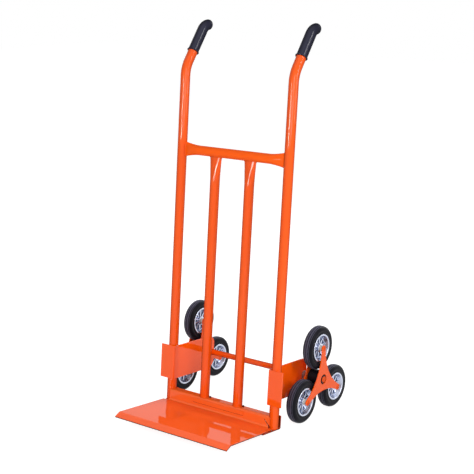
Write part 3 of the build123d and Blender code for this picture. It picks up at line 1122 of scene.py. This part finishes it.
@dataclass
class Wheel(SidePart):
    """Solid-tyred wheel on a ribbed rim, measured from its own centre.

    The lip and the ring are points of the tyre's wall, as depth below its face and radius; the
    lip's radii start at the rim. The rounds are those of the rim's corners, from seat to bore.
    """

    place: Place
    tyre_r: float = 72.5
    half: float = 17.0
    shoulder: float = 13.0
    shoulder_step: int = 9
    lip: tuple[Point2, ...] = ((0.5, 0.1), (0.0, 1.4))
    ring: tuple[Point2, ...] = ((0.0, 53.6), (0.45, 54.2), (0.45, 55.0), (0.0, 55.6))
    grooves: tuple[float, ...] = (-8.0, 0.0, 8.0)
    groove_half: float = 1.4
    groove_floor: float = 0.6
    groove_depth: float = 1.5
    rim_r: float = 46.8
    rim_edge: float = 2.0
    seat_r: float = 43.3
    dish_r: float = 35.3
    draft: float = 6.5
    web: float = 2.5
    hub_r: float = 14.5
    hub_half: float = 13.0
    bore_r: float = 9.55
    rounds: tuple[float, ...] = (0.0, 0.5, 1.2, 1.2, 0.0, 0.0, 3.0, 2.5, 1.0, 0.4)
    round_steps: int = 4
    ribs: int = 10
    rib_turn: float = 0.2
    rib_half: float = 2.25
    rib_rise: float = 3.0
    rib_edge: float = 0.5
    rib_sink: Point2 = (1.0, 0.5)
    rib_reach: Point2 = (0.6, 2.0)
    # Painted shade on the tyre's wall, up the rim's dish and at the rim's edge:
    wall_shade: float = 0.92
    dish_shade: float = 0.36
    dish_margin: float = 1.0
    edge_shade: float = 0.2
    tyre_steps: int = 120
    tyre_crease: float = 40.0
    rim_steps: int = 96

    def _crown(self, x: float) -> float:
        """Radius of the ungrooved tread at a distance from the middle."""
        out = max(abs(x) - (self.half - self.shoulder), 0.0)
        return self.tyre_r - self.shoulder + math.sqrt(max(self.shoulder**2 - out**2, 0.0))

    def _tyre_profile(self) -> list[Point2]:
        """Draw the tyre with its moulded ring and tread grooves.

        Returns:
            A closed profile, as (X, radius).
        """
        bead = self.half - self.rim_edge
        wall = [(bead, self.seat_r), (bead, self.rim_r)]
        wall += [(self.half - depth, self.rim_r + r) for depth, r in self.lip]
        wall += [(self.half - depth, r) for depth, r in self.ring]
        angles = [math.radians(a) for a in range(0, 91, self.shoulder_step)]
        xs = [self.half - self.shoulder * (1 - math.cos(a)) for a in angles]
        crown = [(sign * x, self._crown(x)) for x in xs for sign in (1, -1)]
        for middle in self.grooves:
            low, high = middle - self.groove_half, middle + self.groove_half
            floor = self._crown(middle) - self.groove_depth
            crown = [(x, r) for x, r in crown if not low < x < high]
            for sign, x in ((-1, low), (1, high)):
                crown.append((x, self._crown(x)))
                crown.append((middle + sign * self.groove_half * self.groove_floor, floor))
        tread = sorted(set(crown), reverse=True)
        return wall + tread + [(-x, r) for x, r in reversed(wall)]

    def _rim_profile(self) -> list[Point2]:
        """Draw the dished rim.

        Returns:
            A closed profile, as (X, radius).
        """
        half, edge = self.half, self.half - self.rim_edge
        mouth = self.dish_r + self.draft
        slope = self.draft / (half - self.web)
        right = [
            (edge, self.seat_r),
            (edge, self.rim_r),
            (half, self.rim_r),
            (half, mouth),
            (edge, mouth - slope * self.rim_edge),
            (self.web + self.rib_rise, self.dish_r + slope * self.rib_rise),
            (self.web, self.dish_r),
            (self.web, self.hub_r),
            (self.hub_half, self.hub_r),
            (self.hub_half, self.bore_r),
        ]
        corners = right + [(-x, r) for x, r in reversed(right)]
        return rounded(corners, self.rounds + self.rounds[::-1], self.round_steps)

    def _tyre_depth(self, x: float, r: float) -> float:
        """Painted shade on the tyre: one in a groove, less on the wall, nought on the tread."""
        tread = 1.0 if r < self._crown(x) - self.groove_depth / 2 else 0.0
        return self.wall_shade if x > self.grooves[-1] + 2 * self.groove_half else tread

    def _rim_depth(self, x: float, r: float) -> float:
        """Painted shade on the rim: one at the web, less up the dish and at its edge, nought on the ribs.

        Args:
            x: millimetres off the middle plane.
            r: millimetres off the axis.

        Returns:
            How much painted shade it gets.
        """
        if r > self.dish_r - self.dish_margin:
            return self.dish_shade if x < self.half - self.rim_edge / 2 else self.edge_shade
        return min(max((self.web + self.rib_rise - x) / self.rib_rise, 0.0), 1.0)

    @staticmethod
    def _shade(mesh: Mesh, centre: Vector, depth: Callable[[float, float], float]) -> None:
        """Note on the mesh how much painted shade each point gets.

        Args:
            mesh: the geometry.
            centre: the wheel's centre.
            depth: from millimetres off the middle plane and off the axis to 0 to 1.
        """
        layer = mesh.bm.verts.layers.float.new("recess")
        for vert in mesh.bm.verts:
            off = (vert.co - centre) / MM
            vert[layer] = depth(abs(off.x), math.hypot(off.y, off.z))

    def _ribs(self, mesh: Mesh, centre: Vector) -> None:
        """Add the radial ribs on both faces of the web.

        Args:
            mesh: receives the faces.
            centre: the wheel's centre.
        """
        root, low = self.hub_r - self.rib_sink[0], self.web - self.rib_sink[1]
        foot, head = (self.dish_r + reach for reach in self.rib_reach)
        top = self.web + self.rib_rise
        outline = [(root, low), (foot, low), (head, top), (root, top)]
        for face in (-1, 1):
            for k in range(self.ribs):
                angle = math.tau * k / self.ribs + self.rib_turn
                c, s = math.cos(angle), math.sin(angle)

                def place(r: float, x: float, t: float) -> Vector:
                    """Rib point: along the radius, along X and across the rib."""
                    return centre + Vector((face * x, r * c - t * s, r * s + t * c)) * MM

                mesh.plate(outline, place, -self.rib_half, self.rib_half, self.rib_edge)

    def build(self) -> None:
        """Make the tyre and the rim, and dress the bush."""
        name = f"{self.word}_{self.place.word}"
        body = f"{name}_wheel"
        low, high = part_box(f"{name}_tyre")
        centre = (low + high) / 2
        mesh = Mesh()
        mesh.turn(self._tyre_profile(), centre, self.tyre_steps)
        self._shade(mesh, centre, self._tyre_depth)
        tyre = f"{name}_ribbed_tyre"
        self.add(tyre, mesh, Finish.TYRE, f"{name}_tyre", body=body, crease=self.tyre_crease)
        mesh = Mesh()
        mesh.turn(self._rim_profile(), centre, self.rim_steps)
        self._ribs(mesh, centre)
        self._shade(mesh, centre, self._rim_depth)
        self.add(f"{name}_dished_rim", mesh, Finish.ALLOY, f"{name}_rim", body=body)
        self.dress(f"{name}_bush", Finish.NYLON)


@dataclass
class WheelCluster(SidePart):
    """Star plates, hub and pins that carry three wheels, in the axle's frame."""

    reach: float = 107.0
    tip: float = 10.5
    tip_steps: int = 24
    waist: float = 38.5
    waist_turn: float = 60.0
    waist_steps: int = 28
    plates: Point2 = (224.3, 271.7)
    edge: float = 0.7
    hole: float = 17.0

    @staticmethod
    def _wrap(angle: float) -> float:
        """The same angle, from -180 to 180 degrees."""
        return (angle + 180) % 360 - 180

    def _outline(self) -> list[Point2]:
        """Draw the star: round tips joined by hollow arcs that touch them.

        Returns:
            A closed outline, as (back, up).
        """
        neck = self.waist - self.tip
        far = (self.reach**2 - neck**2) / (2 * (self.reach / 2 - neck))
        outline: list[Point2] = []
        for place in Place:
            angle, aim = place.value, place.value + self.waist_turn
            tip, hollow = (
                Vector((math.cos(math.radians(turn)), math.sin(math.radians(turn)))) * radius
                for turn, radius in ((angle, self.reach), (aim, far))
            )
            out = hollow - tip
            touch = self._wrap(math.degrees(math.atan2(out.y, out.x)) - angle)
            outline += arc((tip.x, tip.y), self.tip, angle - touch, angle + touch, self.tip_steps)
            back = math.degrees(math.atan2(-out.y, -out.x))
            end = back + 2 * self._wrap(aim + 180 - back)
            waist = arc((hollow.x, hollow.y), far - self.waist, back, end, self.waist_steps)
            outline += waist[1:-1]
        return outline

    def build(self) -> None:
        """Make the star plates, dress the hub and the pins, and make the wheels."""
        outline = self._outline()
        for name, depth in zip(("inner", "outer"), self.plates):
            start, end = (self.side.value * x for x in (depth, depth + SHEET))
            mesh = Mesh()
            mesh.plate(outline, AXLE.from_side, start, end, self.edge, self.hole)
            star = f"{self.word}_{name}_star"
            self.add(f"{star}_plate", mesh, Finish.FLANGE, star, body=f"{self.word}_cluster")
        self.dress(f"{self.word}_cluster_hub", Finish.HUB)
        self.dress(f"{self.word}_wheel_pins", Finish.ORANGE)
        for place in Place:
            Wheel(self.paints, self.side, place).build()


@dataclass(frozen=True)
class Lamp:
    """A soft lamp aimed at the truck, in metres and watts."""

    name: str
    place: Point3
    size: Point2
    power: float
    target: Point3 = (0.0, 0.0, 0.6)

    def build(self) -> None:
        """Hang the lamp."""
        data = bpy.data.lights.new(self.name, "AREA")
        data.shape = "RECTANGLE"
        data.size, data.size_y = self.size
        data.energy = self.power
        lamp = bpy.data.objects.new(self.name, data)
        lamp.location = self.place
        aim = Vector(self.target) - Vector(self.place)
        lamp.rotation_euler = aim.to_track_quat("-Z", "Y").to_euler()
        bpy.context.scene.collection.objects.link(lamp)


@dataclass
class Studio:
    """Pale floor, soft light and the photograph's camera."""

    eye: Point3 = (2171.468, -2842.914 + FOOT_BACK, 1447.900)
    azimuth: float = 36.522
    pitch: float = 13.194
    roll: float = 0.150
    lens: float = 86.672
    sensor: float = 36.0
    ambient: float = 0.4
    floor_half: float = 14.0
    floor_up: float = -0.0006
    floor_matt: float = 0.6
    floor_shade: float = 0.36
    floor_glow: float = 0.87
    lamps: tuple[Lamp, ...] = (
        Lamp("key", (-0.15, -3.2, 1.12), (0.5, 0.42), 34.0),
        Lamp("top", (0.0, -0.4, 3.6), (3.0, 3.0), 12.0),
        Lamp("side", (2.7, -2.5, 1.8), (1.6, 2.0), 43.0),
        Lamp("right", (3.3, 0.6, 1.5), (0.9, 1.6), 40.0),
        Lamp("back", (0.6, 3.4, 2.2), (2.4, 2.4), 58.0),
        Lamp("left", (-3.3, 0.7, 1.8), (1.6, 2.0), 40.0),
        Lamp("glint", (2.7, 0.25, 2.85), (0.3, 0.8), 14.0),
    )

    def build(self) -> None:
        """Make the floor, the world, the lamps and the camera."""
        self._floor()
        self._world()
        for lamp in self.lamps:
            lamp.build()
        self._camera()
        bpy.context.scene.view_settings.view_transform = "Standard"

    @staticmethod
    def _seen(recipe: Recipe) -> Wire:
        """Tell the rays that see a surface from light that bounces.

        Args:
            recipe: the tree that gets the nodes.

        Returns:
            One for camera, glossy and transmission rays, nought for others.
        """
        camera, glossy, transmission = (
            recipe.node("LightPath", output=f"Is {kind} Ray")
            for kind in ("Camera", "Glossy", "Transmission")
        )
        return (camera + glossy + transmission).at_most(1.0)

    def _floor(self) -> None:
        """Lay a pale floor that stays white and keeps a soft shadow."""
        mesh = Mesh()
        size = self.floor_half
        corners = ((-size, -size), (size, -size), (size, size), (-size, size))
        mesh.bm.faces.new([mesh.bm.verts.new((x, y, self.floor_up)) for x, y in corners])
        floor = mesh.finish("floor")
        recipe = Recipe.named("pale_floor")
        matt = recipe.node("BsdfDiffuse", {"Color": grey(self.floor_matt)})
        shadow = recipe.node("BsdfDiffuse", {"Color": grey(self.floor_shade)})
        white = recipe.node("Emission", {"Color": grey(1.0), "Strength": self.floor_glow})
        pale = recipe.node("AddShader", {0: shadow, 1: white})
        recipe.close(recipe.node("MixShader", {0: self._seen(recipe), 1: matt, 2: pale}))
        floor.data.materials.append(recipe.owner)

    def _world(self) -> None:
        """Light the scene from all round and show white behind it."""
        world = bpy.data.worlds.new("studio")
        bpy.context.scene.world = world
        recipe = Recipe(world)
        strength = self.ambient + (1.0 - self.ambient) * self._seen(recipe)
        light = recipe.node("Background", {"Color": grey(1.0), "Strength": strength})
        recipe.close(light, "OutputWorld")

    def _camera(self) -> None:
        """Stand the camera where the photograph was taken."""
        az, el, roll = (math.radians(v) for v in (self.azimuth, self.pitch, self.roll))
        back = Vector((math.sin(az) * math.cos(el), -math.cos(az) * math.cos(el), math.sin(el)))
        level = Vector((math.cos(az), math.sin(az), 0.0))
        upright = back.cross(level)
        right = level * math.cos(roll) + upright * math.sin(roll)
        up = back.cross(right)
        data = bpy.data.cameras.new("camera")
        data.sensor_width = self.sensor
        data.lens = self.lens
        camera = bpy.data.objects.new("camera", data)
        turn = Matrix((right, up, back)).transposed().to_4x4()
        camera.matrix_world = Matrix.Translation(Vector(self.eye) * MM) @ turn
        bpy.context.scene.collection.objects.link(camera)
        bpy.context.scene.camera = camera


def main() -> None:
    """Build the studio and then the truck's pieces in order."""
    logging.basicConfig(level=logging.INFO, format="%(message)s")
    paints = {finish: finish.value.material() for finish in Finish}
    Studio().build()
    ToePlate(paints).build()
    WeldedFrame(paints).build()
    for side in Side:
        for part in (HeelStrap, AxleBracket, Grip, WheelCluster):
            part(paints, side).build()


if __name__ == "__main__":
    main()
